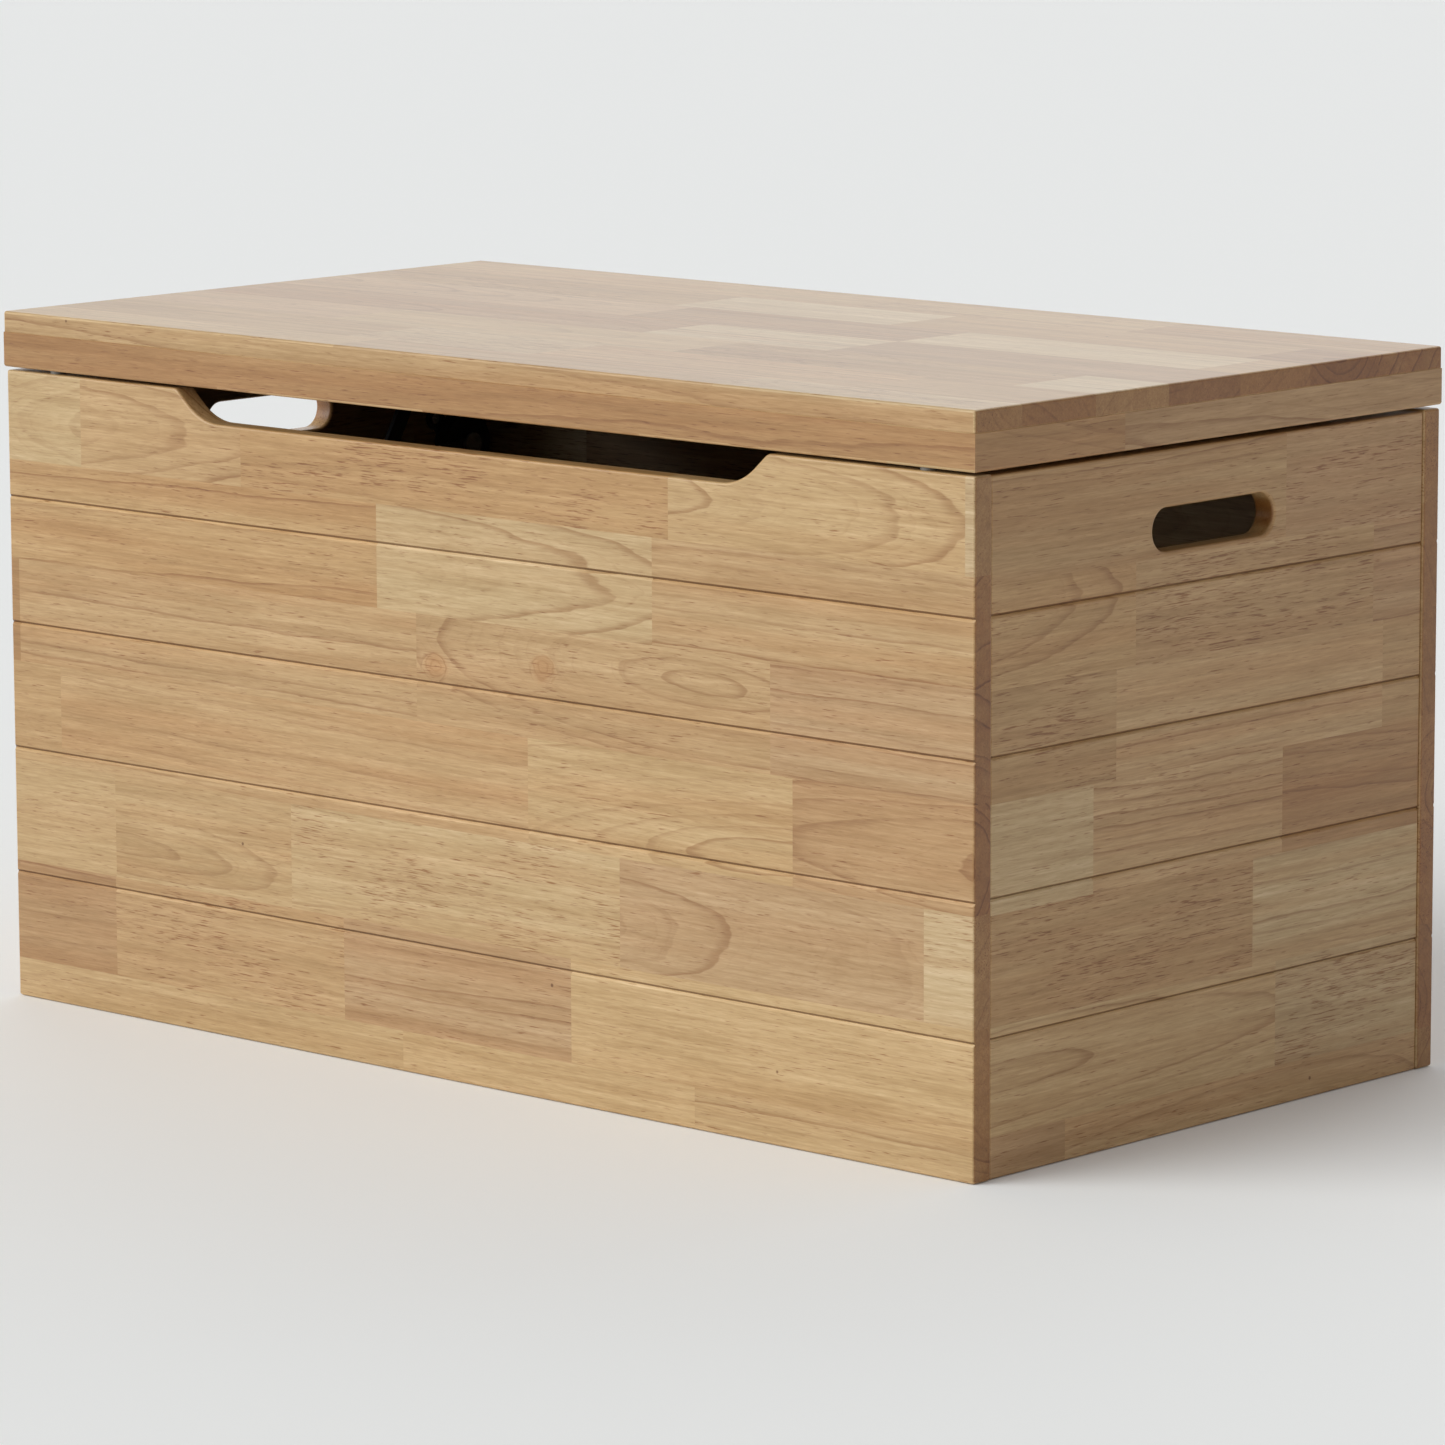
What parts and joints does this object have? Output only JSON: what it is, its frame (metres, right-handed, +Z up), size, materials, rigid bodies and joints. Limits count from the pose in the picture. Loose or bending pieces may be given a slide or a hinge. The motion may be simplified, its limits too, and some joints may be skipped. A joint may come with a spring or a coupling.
{
  "type": "toy box",
  "caption": "Wooden toy box with a hinged lid on two friction stays, grooved board walls, a lifting notch in the front and hand slots in the sides.",
  "frame": {"origin": "on the floor under the middle of the body", "axes": "+X to the right along the front, +Y from the front to the back, +Z up"},
  "size_m": [0.802, 0.4325, 0.437],
  "materials": {
    "varnished_wood": "satin clear varnish over jointed light hardwood staves",
    "pale_wood": "plain sanded",
    "dowel_wood": "fluted beech look, plain",
    "zinc_plated_steel": "zinc plated",
    "cast_zinc": "cast, matt",
    "hinge_steel": "nickel plated, satin",
    "pin_steel": "bright steel",
    "stay_steel": "nickel grey, satin",
    "stay_plastic": "black, fine texture",
    "friction_plastic": "brown fibre",
    "clear_rubber": "translucent"
  },
  "bodies": {
    "carcass": {"front_panel": "varnished_wood", "back_panel": "varnished_wood", "left_side_panel": "varnished_wood", "right_side_panel": "varnished_wood", "base_board": "pale_wood", "front_batten": "pale_wood", "back_batten": "pale_wood", "left_batten": "pale_wood", "right_batten": "pale_wood", "corner_dowels": "dowel_wood", "batten_screws": "zinc_plated_steel", "base_board_screws": "zinc_plated_steel", "hinge_body_screws": "zinc_plated_steel", "stay_housing_screws": "zinc_plated_steel", "cam_bolts": "zinc_plated_steel", "cam_locks": "cast_zinc", "lid_bumpers": "clear_rubber", "left_hinge_body_leaf": "hinge_steel", "left_hinge_pin": "pin_steel", "left_stay_housing": "stay_plastic", "left_stay_cover": "stay_plastic", "left_stay_friction_discs": "friction_plastic", "left_stay_spring_washer": "pin_steel", "right_hinge_body_leaf": "hinge_steel", "right_hinge_pin": "pin_steel", "right_stay_housing": "stay_plastic", "right_stay_cover": "stay_plastic", "right_stay_friction_discs": "friction_plastic", "right_stay_spring_washer": "pin_steel"},
    "lid": {"lid_board": "varnished_wood", "front_lid_strip": "varnished_wood", "back_lid_strip": "varnished_wood", "left_lid_strip": "varnished_wood", "right_lid_strip": "varnished_wood", "left_hinge_lid_leaf": "hinge_steel", "right_hinge_lid_leaf": "hinge_steel", "hinge_lid_screws": "zinc_plated_steel", "left_stay_lid_bracket": "stay_steel", "right_stay_lid_bracket": "stay_steel", "left_stay_bracket_pin": "pin_steel", "right_stay_bracket_pin": "pin_steel", "stay_bracket_screws": "zinc_plated_steel"},
    "left_arm": {"left_stay_arm": "stay_steel", "left_stay_spindle": "pin_steel", "left_stay_knee_rivet": "pin_steel"},
    "left_link": {"left_stay_link": "stay_steel"},
    "right_arm": {"right_stay_arm": "stay_steel", "right_stay_spindle": "pin_steel", "right_stay_knee_rivet": "pin_steel"},
    "right_link": {"right_stay_link": "stay_steel"}
  },
  "joints": [
    {"name": "lid_hinge", "type": "hinge", "parent": "carcass", "child": "lid", "pos_m": [0, 0.216, 0.401], "axis": [-1, 0, 0], "range_deg": [0, 90]},
    {"name": "left_arm_pivot", "type": "hinge", "parent": "carcass", "child": "left_arm", "pos_m": [-0.37, 0.17, 0.32], "axis": [-1, 0, 0], "range_deg": [0, 90]},
    {"name": "left_knee_pivot", "type": "hinge", "parent": "left_arm", "child": "left_link", "pos_m": [-0.366, 0.08, 0.306], "axis": [-1, 0, 0], "range_deg": [-90, 0]},
    {"name": "right_arm_pivot", "type": "hinge", "parent": "carcass", "child": "right_arm", "pos_m": [0.37, 0.17, 0.32], "axis": [-1, 0, 0], "range_deg": [0, 90]},
    {"name": "right_knee_pivot", "type": "hinge", "parent": "right_arm", "child": "right_link", "pos_m": [0.366, 0.08, 0.306], "axis": [-1, 0, 0], "range_deg": [-90, 0]}
  ],
  "couplings": [
    {"joint": "left_arm_pivot", "follows": "lid_hinge", "ratio": 1},
    {"joint": "left_knee_pivot", "follows": "lid_hinge", "ratio": -1},
    {"joint": "right_arm_pivot", "follows": "lid_hinge", "ratio": 1},
    {"joint": "right_knee_pivot", "follows": "lid_hinge", "ratio": -1}
  ]
}
